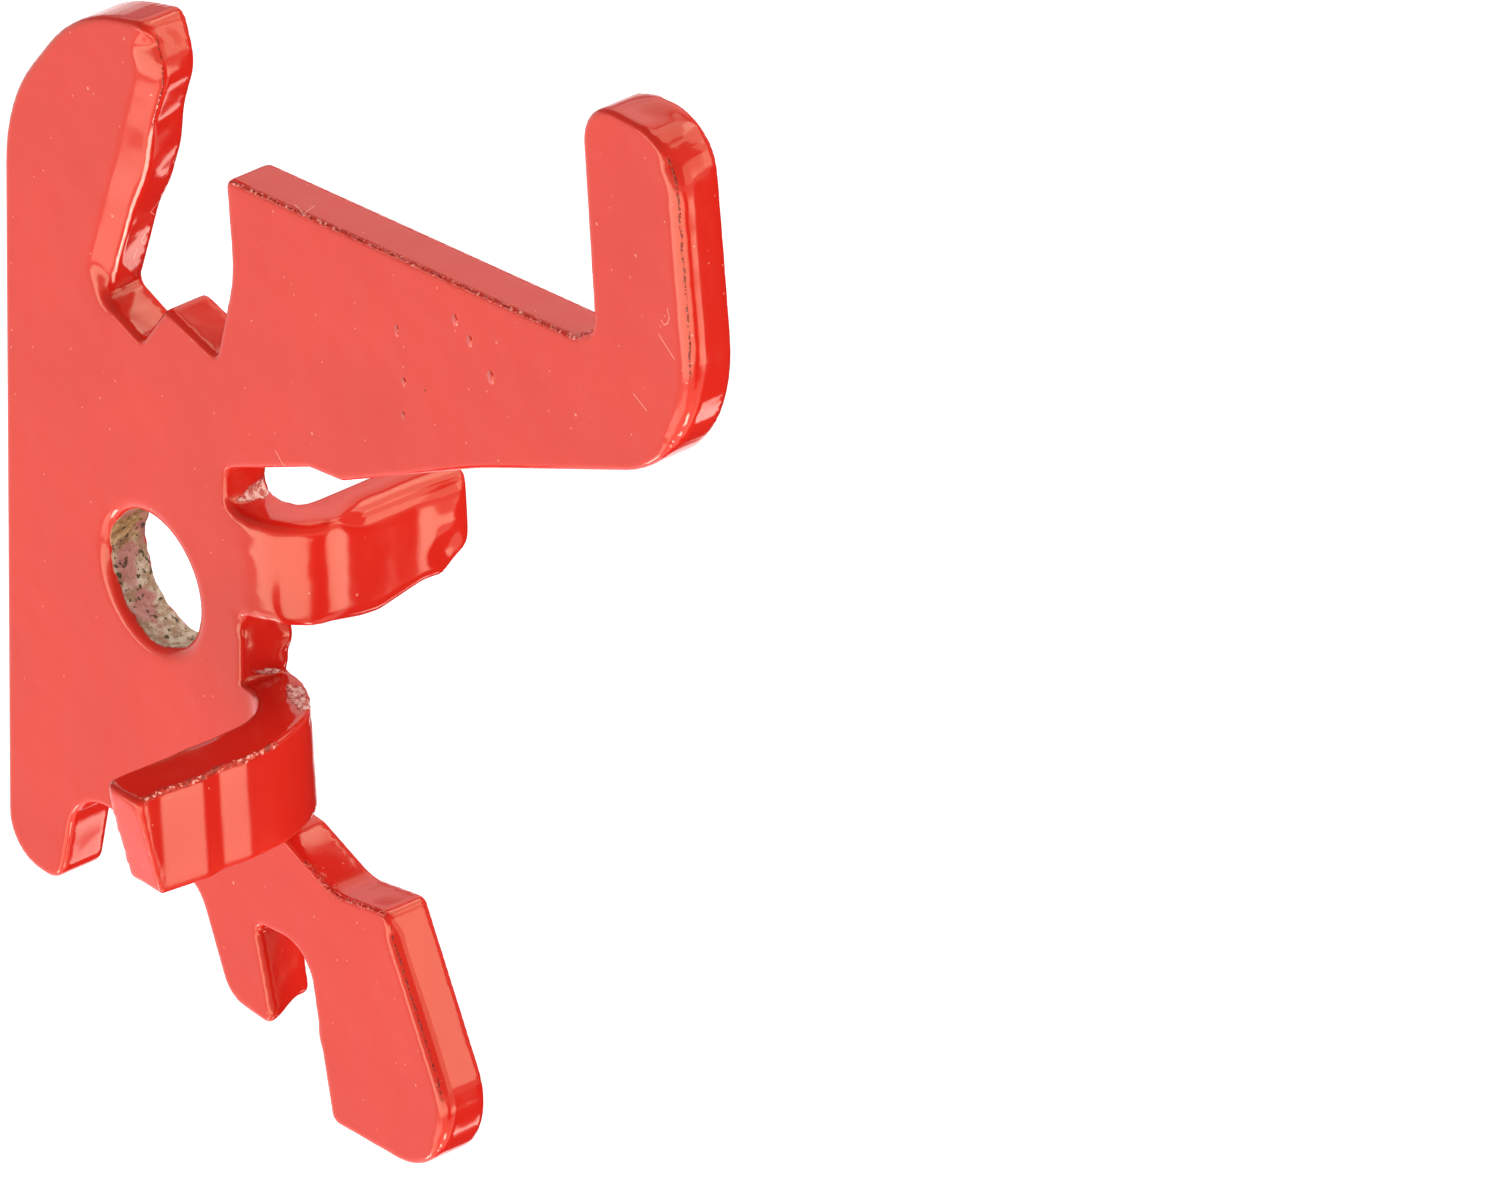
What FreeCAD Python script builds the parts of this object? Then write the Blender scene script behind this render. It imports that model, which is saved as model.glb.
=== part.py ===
import FreeCAD, Part
import math
import os

import Sketcher

# Pegboard hook, cut and folded from one piece of thick sheet.
#
# The plate stands in the XZ plane with its middle surface at Y = 0 and its front
# face towards -Y. +Z runs up the straight back edge of the column and +X points
# along the arm. The origin is the centre of the screw hole.
#
# Seen from the front, the blank holds a column with a horn above and a foot below,
# a sloping arm with an upturned finger, and a leg with a small prong. Two wings are
# folded out of the column's front edge: the upper one backwards, the lower forwards.

# Driving dimensions in millimetres, angles in degrees.
SIZES = {
    # Sheet and screw hole
    "sheet": 2.3,
    "bore": 6.35,
    "front_edge_roll": 0.25,
    "back_edge_break": 0.15,
    "hole_front_break": 0.25,
    # Column, measured from the screw hole
    "column_back": 10.2,
    "column_front": 6.3,
    # Horn above the column
    "horn_height": 28.05,
    "horn_tip_inset": 9.8,
    "horn_tip_radius": 0.6,
    "nape_drop": 8.55,
    "nape_radius": 10.0,
    "brow_run": 4.9,
    "brow_drop": 1.7,
    "brow_radius": 10.0,
    "beak_reach": 0.85,
    "beak_drop": 2.45,
    "beak_radius": 3.0,
    # Board notch between the horn and the arm, with a tooth in its floor
    "notch_start": 6.75,
    "notch_floor": 12.75,
    "notch_radius": 0.35,
    "first_valley_run": 2.8,
    "first_valley_drop": 0.9,
    "tooth_run": 4.5,
    "tooth_rise": 1.6,
    "tooth_radius": 0.4,
    "last_valley_run": 8.0,
    "last_valley_rise": 0.9,
    # Arm
    "arm_rear": 8.65,
    "arm_height": 23.05,
    "arm_rear_bulge": 0.5,
    "arm_rear_radius": 7.0,
    "arm_corner_radius": 0.5,
    "arm_length": 25.35,
    "arm_climb": 4.1,
    "belly_run": 17.3,
    "belly_drop": 6.1,
    "belly_radius": 40.0,
    # Finger at the arm's tip
    "finger_root_radius": 1.6,
    "finger_height": 11.95,
    "finger_lean": 1.1,
    "finger_width": 6.4,
    "finger_crown": 0.7,
    "finger_back_radius": 2.3,
    "finger_front_radius": 2.6,
    "heel_reach": 7.1,
    "heel_drop": 2.8,
    "heel_radius": 8.0,
    # Relief slot under the arm
    "relief_depth": 1.05,
    "relief_gap": 1.9,
    "relief_radius": 0.55,
    "relief_corner_radius": 0.3,
    "step_run": 5.7,
    "step_drop": 11.85,
    "step_length": 2.3,
    "step_height": 0.45,
    "step_radius": 0.5,
    # Wings folded out of the column's front edge
    "wing_width": 5.0,
    "wing_root": 2.0,
    "wing_lean": 5.0,
    "wing_tip_round": 0.5,
    "upper_wing_foot": 1.4,
    "upper_fold_radius": 1.0,
    "upper_wing_length": 7.6,
    "upper_tip_cut": 2.0,
    "lower_wing_head": 2.15,
    "lower_fold_start": 0.55,
    "lower_fold_radius": 2.2,
    "lower_wing_length": 9.55,
    "lower_tip_slant": 1.1,
    # Leg under the lower wing
    "leg_gap": 1.3,
    "leg_root_run": 2.9,
    "leg_root_radius": 1.0,
    "leg_dip_run": 6.4,
    "leg_dip_drop": 1.15,
    "leg_dip_radius": 2.5,
    "leg_reach": 9.95,
    "leg_corner_drop": 0.3,
    "leg_corner_radius": 0.5,
    "leg_splay": 6.35,
    "leg_length": 11.75,
    "toe_radius": 3.7,
    "toe_width": 10.05,
    "toe_climb": 0.9,
    "toe_corner_radius": 0.5,
    "shin_run": 0.9,
    "shin_rise": 3.8,
    "shin_radius": 4.0,
    # Slot and prong beside the leg
    "slot_depth": 8.0,
    "slot_run": 1.75,
    "slot_width": 3.55,
    "slot_radius": 1.8,
    "slot_corner_radius": 0.5,
    "slot_tilt": 0.5,
    "prong_length": 5.3,
    "prong_flare": 1.3,
    "prong_width": 3.2,
    "prong_tip_radius": 0.6,
    "prong_side_radius": 1.6,
    "prong_taper": 2.2,
    "prong_root_radius": 2.0,
    # Foot at the bottom of the column
    "arch_drop": 0.6,
    "arch_rise": 0.4,
    "foot_length": 18.95,
    "foot_width": 3.7,
    "foot_neck": 4.9,
    "foot_back_radius": 2.1,
    "foot_front_radius": 1.3,
    "arch_radius": 3.0,
}

SHEET_NAME = "Sizes"
CUT_SPARE = 6.0
# The upper tip's cut runs towards the plate and has to end before it.
TIP_SPARE = 3.0


class Size:
    """A number together with the spreadsheet expression that gives it."""

    def __init__(self, value, text):
        self.value = value
        self.text = text

    def __add__(self, other):
        return Size(self.value + other.value, f"({self.text} + {other.text})")

    def __sub__(self, other):
        return Size(self.value - other.value, f"({self.text} - {other.text})")

    def __neg__(self):
        return Size(-self.value, f"(-{self.text})")

    def half(self):
        return Size(self.value / 2, f"({self.text} / 2)")


class Corner:
    """A corner of an outline: its place in the sketch and the radius that rounds it."""

    def __init__(self, across, up, radius=None):
        self.across = across
        self.up = up
        self.radius = radius

    def point(self):
        return FreeCAD.Vector(self.across.value, self.up.value, 0)


def size(name):
    return Size(SIZES[name], f"{SHEET_NAME}.{name}")


def fixed(number):
    return Size(number, f"{number}")


def fill_sheet(doc):
    """Writes every driving dimension into the spreadsheet, one row each."""
    sheet = doc.addObject("Spreadsheet::Sheet", SHEET_NAME)
    for row, (name, value) in enumerate(SIZES.items(), start=1):
        sheet.set(f"A{row}", name)
        sheet.set(f"B{row}", str(value))
        sheet.setAlias(f"B{row}", name)
    doc.recompute()
    return sheet


def origin_plane(body, role):
    for feature in body.Origin.OriginFeatures:
        if feature.Role == role:
            return feature
    raise ValueError(f"the body has no {role}")


def new_sketch(body, name, role):
    sketch = body.newObject("Sketcher::SketchObject", name)
    sketch.AttachmentSupport = [(origin_plane(body, role), "")]
    sketch.MapMode = "FlatFace"
    return sketch


def pin_point(sketch, geometry, end, corner):
    """Places a point of the sketch at a corner's coordinates, bound to the sheet."""
    for kind, place in (("DistanceX", corner.across), ("DistanceY", corner.up)):
        row = sketch.addConstraint(
            Sketcher.Constraint(kind, -1, 1, geometry, end, place.value)
        )
        sketch.setExpression(f"Constraints[{row}]", place.text)


def tangent_points(before, corner, after):
    """Where a rounded corner's arc starts and ends, its centre, and if it turns left."""
    here = corner.point()
    back = (before.point() - here).normalize()
    ahead = (after.point() - here).normalize()
    half_angle = back.getAngle(ahead) / 2
    run = corner.radius.value / math.tan(half_angle)
    reach = corner.radius.value / math.sin(half_angle)
    middle = here + (back + ahead).normalize() * reach
    turns_left = back.cross(ahead).z < 0
    return here + back * run, here + ahead * run, middle, turns_left


def add_arc(sketch, start, end, middle, radius, turns_left):
    """Adds the arc and gives its index with the ends that meet the sides before and after."""
    circle = Part.Circle(middle, FreeCAD.Vector(0, 0, 1), radius)
    first, last = (start, end) if turns_left else (end, start)
    first_angle = math.atan2(first.y - middle.y, first.x - middle.x)
    last_angle = math.atan2(last.y - middle.y, last.x - middle.x)
    if last_angle < first_angle:
        last_angle += 2 * math.pi
    index = sketch.addGeometry(Part.ArcOfCircle(circle, first_angle, last_angle))
    return (index, 1, 2) if turns_left else (index, 2, 1)


def draw_outline(sketch, corners):
    """Draws a closed outline of straight sides with rounded corners, fully constrained."""
    count = len(corners)
    starts, ends, arcs = {}, {}, {}
    for number, corner in enumerate(corners):
        before = corners[number - 1]
        after = corners[(number + 1) % count]
        if corner.radius is None:
            starts[number] = corner.point()
            ends[number] = corner.point()
            continue
        start, end, middle, turns_left = tangent_points(before, corner, after)
        arc = add_arc(sketch, start, end, middle, corner.radius.value, turns_left)
        arcs[number] = arc
        starts[number] = start
        ends[number] = end
    sides = []
    for number in range(count):
        following = (number + 1) % count
        side = Part.LineSegment(ends[number], starts[following])
        sides.append(sketch.addGeometry(side))
    for number, corner in enumerate(corners):
        side_before = sides[number - 1]
        side_after = sides[number]
        if number not in arcs:
            sketch.addConstraint(
                Sketcher.Constraint("Coincident", side_before, 2, side_after, 1)
            )
            pin_point(sketch, side_after, 1, corner)
            continue
        arc, arc_start, arc_end = arcs[number]
        mark = sketch.addGeometry(Part.Point(corner.point()), True)
        pin_point(sketch, mark, 1, corner)
        sketch.addConstraint(
            [
                Sketcher.Constraint("PointOnObject", mark, 1, side_before),
                Sketcher.Constraint("PointOnObject", mark, 1, side_after),
                Sketcher.Constraint("Tangent", side_before, 2, arc, arc_start),
                Sketcher.Constraint("Tangent", arc, arc_end, side_after, 1),
            ]
        )
        row = sketch.addConstraint(
            Sketcher.Constraint("Radius", arc, corner.radius.value)
        )
        sketch.setExpression(f"Constraints[{row}]", corner.radius.text)


def horn_corners():
    """Up the back edge, over the horn's tip and down its beak."""
    tip_x = size("horn_tip_inset") - size("column_back")
    tip_z = size("horn_height")
    beak_x = tip_x + size("beak_reach")
    beak_z = tip_z - size("beak_drop")
    nape_z = tip_z - size("nape_drop")
    brow_x = tip_x - size("brow_run")
    brow_z = tip_z - size("brow_drop")
    return [
        Corner(-size("column_back"), nape_z, size("nape_radius")),
        Corner(brow_x, brow_z, size("brow_radius")),
        Corner(tip_x, tip_z, size("horn_tip_radius")),
        Corner(beak_x, beak_z, size("beak_radius")),
    ]


def notch_corners():
    """The floor of the board notch: two valleys with a tooth between them."""
    start_x = size("notch_start") - size("column_back")
    floor_z = size("notch_floor")
    radius = size("notch_radius")
    first_x = start_x + size("first_valley_run")
    tooth_x = start_x + size("tooth_run")
    last_x = start_x + size("last_valley_run")
    return [
        Corner(start_x, floor_z, radius),
        Corner(first_x, floor_z - size("first_valley_drop"), radius),
        Corner(tooth_x, floor_z + size("tooth_rise"), size("tooth_radius")),
        Corner(last_x, floor_z + size("last_valley_rise"), radius),
    ]


def arm_corners():
    """Up the arm's rear edge, along its top, round the finger and back underneath."""
    rear_x = size("notch_start") - size("column_back") + size("arm_rear")
    top_z = size("arm_height")
    valley_z = size("notch_floor") + size("last_valley_rise")
    waist = Corner(
        rear_x + size("arm_rear_bulge"),
        (valley_z + top_z).half(),
        size("arm_rear_radius"),
    )
    root_x = rear_x + size("arm_length")
    root_z = top_z + size("arm_climb")
    crown_x = root_x - size("finger_lean")
    crown_z = root_z + size("finger_height")
    front_x = crown_x + size("finger_width")
    front_z = crown_z + size("finger_crown")
    heel_x = root_x + size("heel_reach")
    heel_z = root_z - size("heel_drop")
    belly_x = rear_x + size("belly_run")
    belly_z = top_z - size("belly_drop")
    step_x = rear_x + size("step_run")
    step_z = top_z - size("step_drop")
    ledge_x = step_x + size("step_length")
    ledge_z = step_z + size("step_height")
    return [
        waist,
        Corner(rear_x, top_z, size("arm_corner_radius")),
        Corner(root_x, root_z, size("finger_root_radius")),
        Corner(crown_x, crown_z, size("finger_back_radius")),
        Corner(front_x, front_z, size("finger_front_radius")),
        Corner(heel_x, heel_z, size("heel_radius")),
        Corner(belly_x, belly_z, size("belly_radius")),
        Corner(ledge_x, ledge_z, size("step_radius")),
        Corner(step_x, step_z, size("step_radius")),
    ]


def upper_wing_head():
    return size("upper_wing_foot") + size("wing_width")


def lower_wing_foot():
    return -size("lower_wing_head") - size("wing_width")


def relief_corners():
    """The closed end of the slot that frees the upper wing from the arm."""
    end_x = size("column_front") - size("relief_depth")
    floor_z = upper_wing_head()
    radius = size("relief_radius")
    return [
        Corner(end_x, floor_z + size("relief_gap"), radius),
        Corner(end_x, floor_z, radius),
        Corner(size("column_front"), floor_z, size("relief_corner_radius")),
    ]


def leg_corners():
    """From the column's front edge round the leg, its slot and its prong."""
    front_x = size("column_front")
    top_z = lower_wing_foot() - size("leg_gap")
    corner_x = front_x + size("leg_reach")
    corner_z = top_z - size("leg_corner_drop")
    toe_x = corner_x + size("leg_splay")
    toe_z = corner_z - size("leg_length")
    back_x = toe_x - size("toe_width")
    back_z = toe_z - size("toe_climb")
    shin_x = back_x - size("shin_run")
    shin_z = back_z + size("shin_rise")
    slot_x = back_x - size("slot_run")
    roof_z = back_z + size("slot_depth")
    slot_end_x = slot_x - size("slot_width")
    prong_z = roof_z - size("prong_length")
    prong_x = slot_end_x + size("prong_flare")
    prong_back_x = prong_x - size("prong_width")
    return [
        Corner(front_x, top_z, size("leg_corner_radius")),
        Corner(front_x + size("leg_root_run"), top_z, size("leg_root_radius")),
        Corner(
            front_x + size("leg_dip_run"),
            top_z - size("leg_dip_drop"),
            size("leg_dip_radius"),
        ),
        Corner(corner_x, corner_z, size("leg_corner_radius")),
        Corner(toe_x, toe_z, size("toe_radius")),
        Corner(back_x, back_z, size("toe_corner_radius")),
        Corner(shin_x, shin_z, size("shin_radius")),
        Corner(slot_x, roof_z, size("slot_radius")),
        Corner(slot_end_x, roof_z - size("slot_tilt"), size("slot_corner_radius")),
        Corner(prong_x, prong_z, size("prong_tip_radius")),
        Corner(prong_back_x, prong_z, size("prong_side_radius")),
        Corner(
            prong_back_x - size("prong_taper"),
            roof_z - size("arch_drop"),
            size("prong_root_radius"),
        ),
    ]


def foot_corners():
    """The arch between prong and foot, and the foot itself."""
    back_x = -size("column_back")
    tip_z = -size("foot_length")
    neck_x = back_x + size("foot_neck")
    leg_top = lower_wing_foot() - size("leg_gap")
    toe_back_z = leg_top - size("leg_corner_drop") - size("leg_length") - size("toe_climb")
    neck_z = toe_back_z + size("slot_depth") + size("arch_rise")
    return [
        Corner(neck_x, neck_z, size("arch_radius")),
        Corner(back_x + size("foot_width"), tip_z, size("foot_front_radius")),
        Corner(back_x, tip_z, size("foot_back_radius")),
    ]


def add_plate(body):
    """Pads the flat part of the blank evenly about the middle surface."""
    sketch = new_sketch(body, "blank_outline", "XZ_Plane")
    corners = (
        horn_corners()
        + notch_corners()
        + arm_corners()
        + relief_corners()
        + leg_corners()
        + foot_corners()
    )
    draw_outline(sketch, corners)
    return add_pad(body, sketch, "plate", size("sheet"))


def add_pad(body, sketch, name, length):
    pad = body.newObject("PartDesign::Pad", name)
    pad.Profile = sketch
    pad.SideType = "Symmetric"
    pad.Length = length.value
    pad.setExpression("Length", length.text)
    return pad


def lean_sketch(sketch, middle_z):
    """Sets a wing's section at the column's front edge, leaning with the fold line."""
    axis = FreeCAD.Vector(0, 1, 0)
    base = FreeCAD.Vector(SIZES["column_front"], 0, middle_z.value)
    turn = FreeCAD.Rotation(axis, -SIZES["wing_lean"])
    sketch.AttachmentOffset = FreeCAD.Placement(base, turn)
    sketch.setExpression("AttachmentOffset.Base.x", size("column_front").text)
    sketch.setExpression("AttachmentOffset.Base.z", middle_z.text)
    sketch.setExpression("AttachmentOffset.Rotation.Angle", size("wing_lean").text)
    sketch.setExpression("AttachmentOffset.Rotation.Axis.y", "-1")


def add_upper_wing(body):
    """The wing folded backwards: its section from above, padded to its width."""
    sketch = new_sketch(body, "upper_wing_section", "XY_Plane")
    half_sheet = size("sheet").half()
    inner = size("upper_fold_radius")
    outer = inner + size("sheet")
    tip_y = half_sheet + size("upper_wing_length")
    tip_round = size("wing_tip_round")
    draw_outline(
        sketch,
        [
            Corner(-size("wing_root"), -half_sheet),
            Corner(outer, -half_sheet, outer),
            Corner(outer, tip_y, tip_round),
            Corner(inner, tip_y, tip_round),
            Corner(inner, half_sheet, inner),
            Corner(-size("wing_root"), half_sheet),
        ],
    )
    lean_sketch(sketch, size("upper_wing_foot") + size("wing_width").half())
    return add_pad(body, sketch, "upper_wing", size("wing_width"))


def add_lower_wing(body):
    """The wing folded forwards, on a wider radius."""
    sketch = new_sketch(body, "lower_wing_section", "XY_Plane")
    half_sheet = size("sheet").half()
    start_x = size("lower_fold_start")
    inner = size("lower_fold_radius")
    outer = inner + size("sheet")
    tip_y = -half_sheet - size("lower_wing_length")
    tip_round = size("wing_tip_round")
    draw_outline(
        sketch,
        [
            Corner(-size("wing_root"), half_sheet),
            Corner(start_x + outer, half_sheet, outer),
            Corner(start_x + outer, tip_y, tip_round),
            Corner(start_x + inner, tip_y, tip_round),
            Corner(start_x + inner, -half_sheet, inner),
            Corner(-size("wing_root"), -half_sheet),
        ],
    )
    lean_sketch(sketch, -size("lower_wing_head") - size("wing_width").half())
    return add_pad(body, sketch, "lower_wing", size("wing_width"))


def add_cut(body, sketch, name):
    """Cuts a sketch right through, both ways."""
    pocket = body.newObject("PartDesign::Pocket", name)
    pocket.Profile = sketch
    pocket.Type = "ThroughAll"
    pocket.SideType = "Symmetric"
    return pocket


def cut_screw_hole(body):
    sketch = new_sketch(body, "screw_hole_circle", "XZ_Plane")
    radius = size("bore").half()
    circle = Part.Circle(FreeCAD.Vector(0, 0, 0), FreeCAD.Vector(0, 0, 1), radius.value)
    index = sketch.addGeometry(circle)
    sketch.addConstraint(Sketcher.Constraint("Coincident", index, 3, -1, 1))
    row = sketch.addConstraint(Sketcher.Constraint("Radius", index, radius.value))
    sketch.setExpression(f"Constraints[{row}]", radius.text)
    return add_cut(body, sketch, "screw_hole")


def trim_upper_tip(body):
    """Cuts the lower corner off the upper wing's end."""
    sketch = new_sketch(body, "upper_tip_cut_outline", "YZ_Plane")
    spare = fixed(TIP_SPARE)
    half_sheet = size("sheet").half()
    tip_y = half_sheet + size("upper_wing_length")
    foot_z = size("upper_wing_foot")
    cut = size("upper_tip_cut")
    draw_outline(
        sketch,
        [
            Corner(tip_y + spare, foot_z + cut + spare),
            Corner(tip_y - cut - spare, foot_z - spare),
            Corner(tip_y + spare, foot_z - spare),
        ],
    )
    return add_cut(body, sketch, "upper_tip_trim")


def trim_lower_tip(body):
    """Slants the lower wing's end, so that its bottom edge is the shorter one."""
    sketch = new_sketch(body, "lower_tip_slant_outline", "YZ_Plane")
    spare = fixed(CUT_SPARE)
    tip_y = -size("sheet").half() - size("lower_wing_length")
    head_z = -size("lower_wing_head")
    foot_z = lower_wing_foot()
    slant = size("lower_tip_slant")
    draw_outline(
        sketch,
        [
            Corner(tip_y, head_z),
            Corner(tip_y + slant, foot_z),
            Corner(tip_y + slant, foot_z - spare),
            Corner(tip_y - spare, foot_z - spare),
            Corner(tip_y - spare, head_z),
        ],
    )
    return add_cut(body, sketch, "lower_tip_trim")


def face_edges(shape, level):
    """Names the edges that lie flat in the plane Y = level."""
    tolerance = 1e-6
    names = []
    for number, edge in enumerate(shape.Edges, start=1):
        box = edge.BoundBox
        if abs(box.YMin - level) < tolerance and abs(box.YMax - level) < tolerance:
            names.append(f"Edge{number}")
    return names


def hole_edges(shape, level):
    """Names the screw hole's rim in the plane Y = level."""
    reach = SIZES["bore"] / 2 + SIZES["hole_front_break"]
    names = []
    for name in face_edges(shape, level):
        box = shape.getElement(name).BoundBox
        if max(abs(box.XMin), abs(box.XMax), abs(box.ZMin), abs(box.ZMax)) < reach:
            names.append(name)
    return names


def roll_front_edges(doc, body):
    """Rounds the rim of the front face, where the punch drew the sheet down."""
    doc.recompute()
    base = body.Tip
    fillet = body.newObject("PartDesign::Fillet", "front_roll")
    fillet.Base = (base, face_edges(base.Shape, -SIZES["sheet"] / 2))
    fillet.Radius = SIZES["front_edge_roll"]
    fillet.setExpression("Radius", size("front_edge_roll").text)
    return fillet


def break_edges(doc, body, name, find_edges, level, break_name):
    """Takes the sharpness off the edges that find_edges picks at one level of Y."""
    doc.recompute()
    base = body.Tip
    chamfer = body.newObject("PartDesign::Chamfer", name)
    chamfer.Base = (base, find_edges(base.Shape, level))
    chamfer.Size = SIZES[break_name]
    chamfer.setExpression("Size", size(break_name).text)
    return chamfer


def build_hook(doc):
    front = -SIZES["sheet"] / 2
    back = SIZES["sheet"] / 2
    body = doc.addObject("PartDesign::Body", "hook")
    body.Label = "hook"
    add_plate(body)
    roll_front_edges(doc, body)
    break_edges(doc, body, "back_break", face_edges, back, "back_edge_break")
    add_upper_wing(body)
    add_lower_wing(body)
    trim_upper_tip(body)
    trim_lower_tip(body)
    cut_screw_hole(body)
    break_edges(doc, body, "hole_front_break", hole_edges, front, "hole_front_break")
    break_edges(doc, body, "hole_back_break", hole_edges, back, "back_edge_break")
    doc.recompute()
    return body


def check_document(doc):
    for item in doc.Objects:
        if "Invalid" in item.State or "Error" in item.State:
            raise RuntimeError(f"{item.Name} failed: {item.State}")


def check_steps(body):
    """Every pad has to add material and every cut has to take some away."""
    before = 0.0
    for item in body.Group:
        if not item.TypeId.startswith("PartDesign::"):
            continue
        change = item.Shape.Volume - before
        adds = item.TypeId == "PartDesign::Pad"
        if adds != (change > 0) or change == 0:
            raise RuntimeError(f"{item.Name} changed the volume by {change:.3f} mm3")
        before = item.Shape.Volume


def check_body(body):
    shape = body.Shape
    if shape.isNull() or not shape.isValid():
        raise RuntimeError(f"{body.Label} has no valid shape")
    if len(shape.Solids) != 1:
        raise RuntimeError(f"{body.Label} is {len(shape.Solids)} solids")


def main():
    doc = FreeCAD.newDocument("pegboard_hook")
    fill_sheet(doc)
    body = build_hook(doc)
    check_document(doc)
    check_steps(body)
    check_body(body)
    os.makedirs("parts", exist_ok=True)
    body.Shape.exportStep(f"parts/{body.Label}.step")
    box = body.Shape.BoundBox
    print(f"hook: volume {body.Shape.Volume:.1f} mm3")
    print(f"x {box.XMin:.2f} to {box.XMax:.2f}")
    print(f"y {box.YMin:.2f} to {box.YMax:.2f}")
    print(f"z {box.ZMin:.2f} to {box.ZMax:.2f}")


main()
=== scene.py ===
import math

import bmesh
import bpy
import numpy as np
from mathutils import Matrix, Vector, noise
from mathutils.bvhtree import BVHTree


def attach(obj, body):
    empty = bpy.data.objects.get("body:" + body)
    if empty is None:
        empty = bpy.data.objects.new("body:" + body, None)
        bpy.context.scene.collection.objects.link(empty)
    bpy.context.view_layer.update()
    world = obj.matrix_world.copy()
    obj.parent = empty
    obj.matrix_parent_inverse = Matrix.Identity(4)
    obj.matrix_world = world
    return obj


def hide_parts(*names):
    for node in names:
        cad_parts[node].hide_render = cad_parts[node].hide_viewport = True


MM = 0.001

# The photograph's view: a long lens from the right, the front and above.
VIEW_AZIMUTH = math.radians(51.155)
VIEW_ELEVATION = math.radians(32.688)
VIEW_ROLL = math.radians(0.31)
FRAME_WIDTH = 64.746 * MM
FRAME_CENTRE_RIGHT = 24.972 * MM
FRAME_CENTRE_UP = -0.902 * MM
SENSOR = 36.0
LENS = 1000.0

CLIP_NEAR = 0.1
CLIP_FAR = 10

FLOOR_LEVEL = -300 * MM
FLOOR_HALF = 6.0
FLOOR_GREY = (0.5, 0.5, 0.5)
FLOOR_GLOW = 0.84
CARD_LIFT = 5 * MM
FLAG_BLACK = (0.02, 0.02, 0.02)
SKY_LEVEL = 0.36

# Sizes and distances in metres, angles in degrees.
# Dark cards on the floor: azimuth of a long side, nearest and farthest end, width.
FLAGS = (
    ("flag_gap", -27, 0.35, 1.3, 0.38),
    ("flag_right", 30, 0.02, 2.6, 2.2),
)
# Bright panels on the floor: azimuth, distance, width, depth and brightness.
PANELS = (
    ("front_panel", -77, 0.67, 1.44, 0.5, 3.8),
    ("right_panel", 15.5, 0.72, 0.35, 0.4, 3.9),
    ("facet_panel", -94, 0.29, 0.3, 0.15, 2.0),
    ("glint_front", -120, 0.175, 0.07, 0.07, 10.0),
    ("glint_right", -28, 0.175, 0.06, 0.06, 14.0),
    ("glint_foot", 59, 0.23, 0.06, 0.06, 4.0),
)
# Softboxes: azimuth, elevation, distance, width, height and brightness.
BOXES = (
    ("key_box", 10, 12, 1.2, 0.7, 0.6, 1.9),
    ("side_box", 33, 12, 1.3, 0.34, 0.56, 3.8),
    ("mid_box", 40, 35, 1.3, 0.5, 0.5, 2.2),
    ("top_box", 120, 68, 1.2, 0.8, 0.6, 2.2),
    ("back_box", 144, 36, 1.2, 0.9, 0.54, 1.1),
    ("low_box", 146, 17, 1.2, 0.9, 0.26, 0.66),
    ("sky_box", 72, 55, 1.2, 1.0, 0.65, 2.6),
)

# From here on the hook's own mesh is worked on in millimetres.
HALF_SHEET = 1.15
VOXEL = 0.185
HOLE_RADIUS = 3.175

# The punch drew the front rim down where the sheet faces right. Each place: its lowest and
# highest x, its lowest and highest z, then the roll's width, depth and fullness, the depth
# of its ragged seam, and how wavy the wall behind it is.
ROLLED_PLACES = (
    (-8.0, 2.0, 12.6, 29.0, 1.25, 0.55, 1.12, 0.58, 0.4),
    (2.0, 5.2, 12.6, 18.0, 0.8, 0.45, 1.2, 9.0, 0.3),
    (26.0, 38.0, 5.0, 41.0, 0.8, 0.75, 1.9, 0.22, 0.1),
    (13.0, 24.0, -22.0, -8.0, 0.45, 0.5, 1.5, 0.16, 0.15),
    (8.5, 15.9, -10.0, -7.4, 0.7, 0.4, 1.3, 9.0, 0.3),
)
HOLE_ROLL = (0.6, 0.3, 1.5)
LEAST_FACING = 0.35
FULL_FACING = 0.62
LOWEST_FACING = -0.75
TAPER = 1.0
WINGS_LOW = -7.6
WINGS_HIGH = 7.6
WINGS_START = 4.6

# Softening of the covered mesh: the share of each round, and the rounds.
SOFTENING = 0.5
ROLL_SOFTENING = 0.4
COVER_ROUNDS = 2
UPPER_ROUNDS = 3
LAST_ROUNDS = 4

WAVE_SIZE = 2.4
WAVE_DEPTH = 0.2
WAVE_SHIFT = Vector((3, 1, 7))
PIT_SIZE = 0.45
PIT_DEPTH = 0.025
PIT_SHIFT = Vector((5, 2, 1))
WALL_REACH = 0.35
HOLE_WAVE_SIZE = 1.3
HOLE_WAVE_DEPTH = 0.2
HOLE_WAVE_SHIFT = Vector((1, 9, 4))
HOLE_PITS = 0.4

WING_LEAN = 5.0
WING_FOOT = 1.4
WING_TOP = 6.4
TOP_EDGE_ROUND = 1.2
LOWER_EDGE_DEEP = (1.5, 2.8, 3.8, 6.2, 6.8, 7.6, 8.5, 8.8)
LOWER_EDGE_LIFT = (0.0, -0.3, -0.4, 0.2, 0.2, -0.2, -0.55, -0.6)
TIP_FLARE = 0.3
TIP_BRUISES = (
    ((9.9, 7.6, 3.0), 1.2, 0.2),
    ((9.9, 7.4, 4.7), 0.9, -0.07),
)

LOWER_WING_DEEP = (-10.7, -9.5, -7.3, -6.4, -5.0, -3.5, -2.0)
LOWER_WING_SHIFT = (0.3, 0.16, 0.4, 0.26, 0.42, 0.3, 0.1)

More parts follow.
